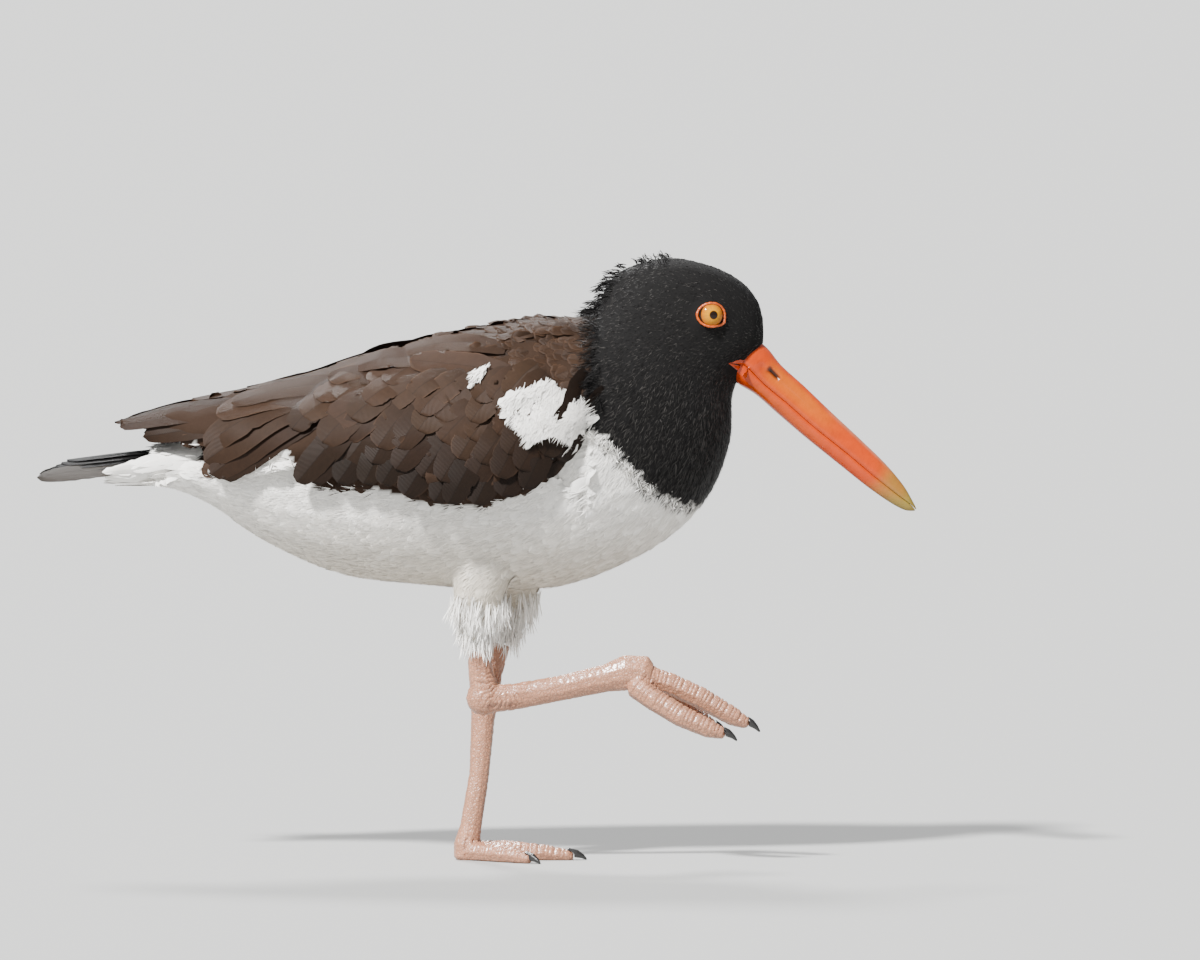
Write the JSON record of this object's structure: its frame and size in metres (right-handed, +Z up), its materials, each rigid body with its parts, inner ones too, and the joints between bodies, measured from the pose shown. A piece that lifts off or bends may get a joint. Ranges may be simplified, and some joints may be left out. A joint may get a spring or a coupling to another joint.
{
  "type": "american oystercatcher model",
  "caption": "Life-size still model of a pied wader with a long straight bill, standing on one leg with the other foot lifted.",
  "frame": {"origin": "on the floor, under the middle of the bird's bounding box", "axes": "+X towards the bill, +Y to the bird's left, +Z up"},
  "size_m": [0.3512, 0.1014, 0.2425],
  "materials": {
    "black_feather": "soft black feathers",
    "brown_feather": "satin brown vanes with paler fringes",
    "white_feather": "soft white feathers",
    "bill": "waxy orange, yellow at the tip",
    "eye": "glossy yellow iris with a black pupil",
    "leg_skin": "scaly pink skin",
    "claw": "dark horn"
  },
  "bodies": {
    "root": {"bill_lower": "bill", "bill_upper": "bill", "claw_inner_left": "claw", "claw_inner_right": "claw", "claw_middle_left": "claw", "claw_middle_right": "claw", "claw_outer_left": "claw", "claw_outer_right": "claw", "eye_left": "eye", "eye_right": "eye", "head": "black_feather", "neck": "black_feather", "shank_left": "leg_skin", "shank_right": "leg_skin", "tail": "black_feather", "tarsus_left": "leg_skin", "tarsus_right": "leg_skin", "thigh_left": "white_feather", "thigh_right": "white_feather", "toe_inner_left": "leg_skin", "toe_inner_right": "leg_skin", "toe_middle_left": "leg_skin", "toe_middle_right": "leg_skin", "toe_outer_left": "leg_skin", "toe_outer_right": "leg_skin", "torso": "white_feather", "undertail": "white_feather", "wing_left": "brown_feather", "wing_right": "brown_feather"}
  },
  "joints": []
}
